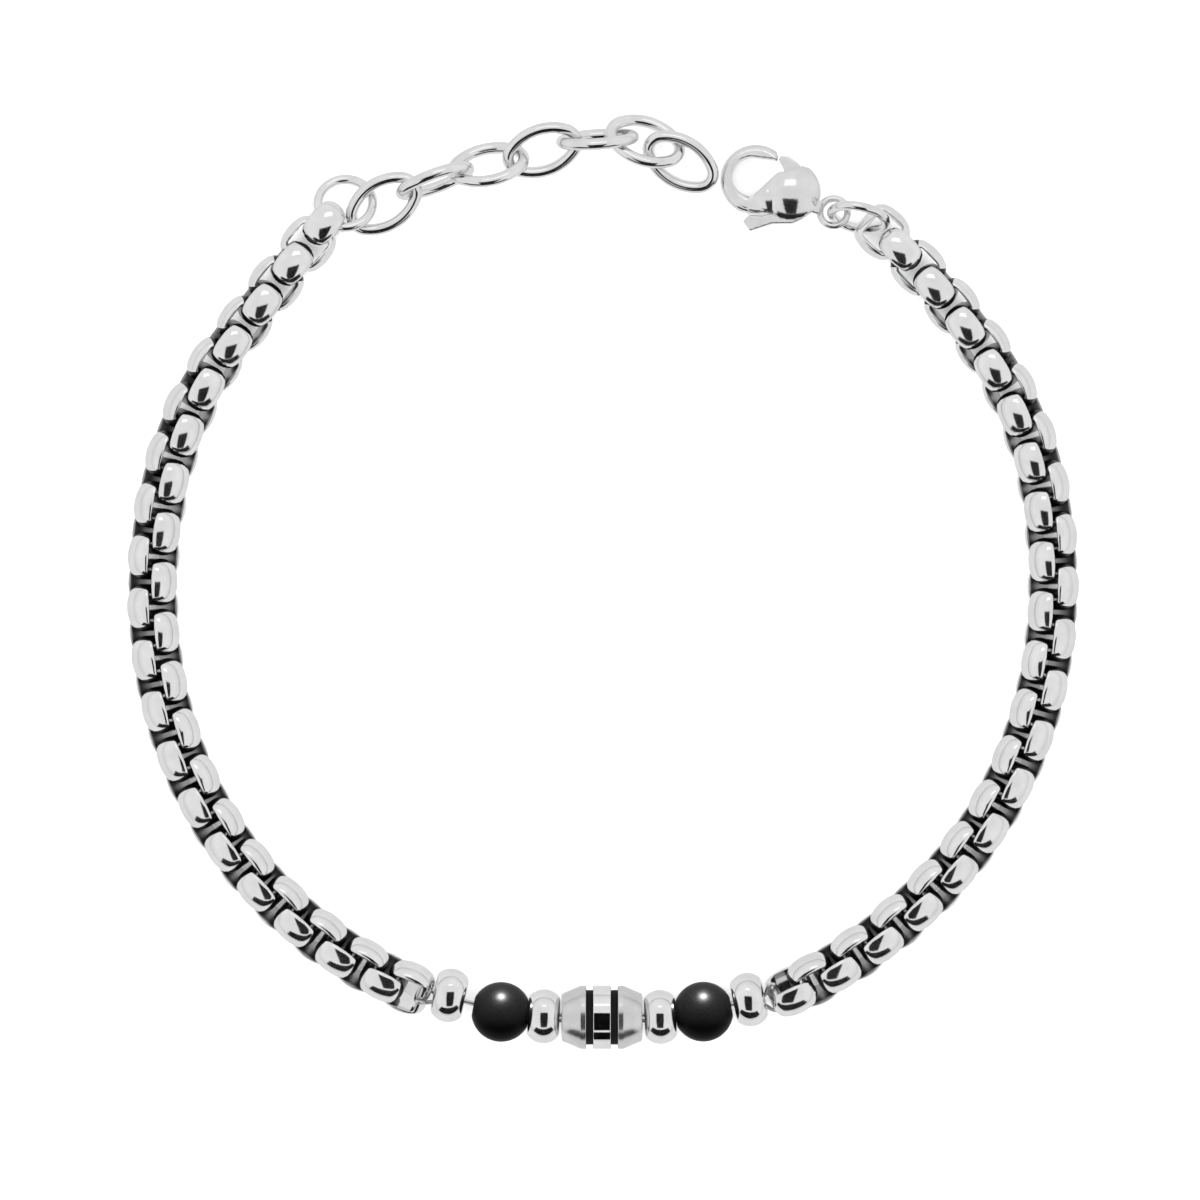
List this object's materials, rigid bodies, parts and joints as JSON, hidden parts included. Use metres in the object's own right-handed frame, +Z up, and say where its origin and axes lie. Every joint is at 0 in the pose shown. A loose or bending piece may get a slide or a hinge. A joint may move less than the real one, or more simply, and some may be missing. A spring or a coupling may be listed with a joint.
{
  "type": "box chain bracelet",
  "caption": "Steel box chain bracelet laid open, with black balls, a grooved barrel bead, a lobster clasp and an extension chain.",
  "frame": {"origin": "middle of the outline on the floor that the bracelet lies on", "axes": "+Z up, +Y from the beads to the clasp, +X to the clasp's side of the chain"},
  "size_m": [0.0726, 0.0712, 0.0048],
  "materials": {
    "steel_chain": "polished",
    "steel_rings": "polished",
    "steel_spacers": "polished",
    "steel_clasp": "polished",
    "steel_wire": "drawn",
    "black_satin": "satin",
    "satin_steel": "satin, polished middle, black grooves"
  },
  "bodies": {
    "bracelet": {"chain_left": "steel_chain", "chain_right": "steel_chain", "jump_ring_left": "steel_rings", "jump_ring_right": "steel_rings", "spacer_1": "steel_spacers", "spacer_2": "steel_spacers", "spacer_3": "steel_spacers", "spacer_4": "steel_spacers", "extension_link_1": "steel_rings", "extension_link_2": "steel_rings", "extension_link_3": "steel_rings", "extension_link_4": "steel_rings", "extension_link_5": "steel_rings", "extension_link_6": "steel_rings", "extension_link_7": "steel_rings", "clasp_body": "steel_clasp", "bead_wire": "steel_wire", "ball_left": "black_satin", "ball_right": "black_satin", "barrel": "satin_steel"},
    "lever": {"clasp_lever": "steel_clasp"}
  },
  "joints": [
    {"name": "clasp_lever_hinge", "type": "hinge", "parent": "bracelet", "child": "lever", "pos_m": [0.01441, 0.02894, 0.00146], "axis": [-0.1046, 0.0269, 0.9942], "range_deg": [0, 20], "stiffness_Nm_per_rad": 0.02}
  ]
}
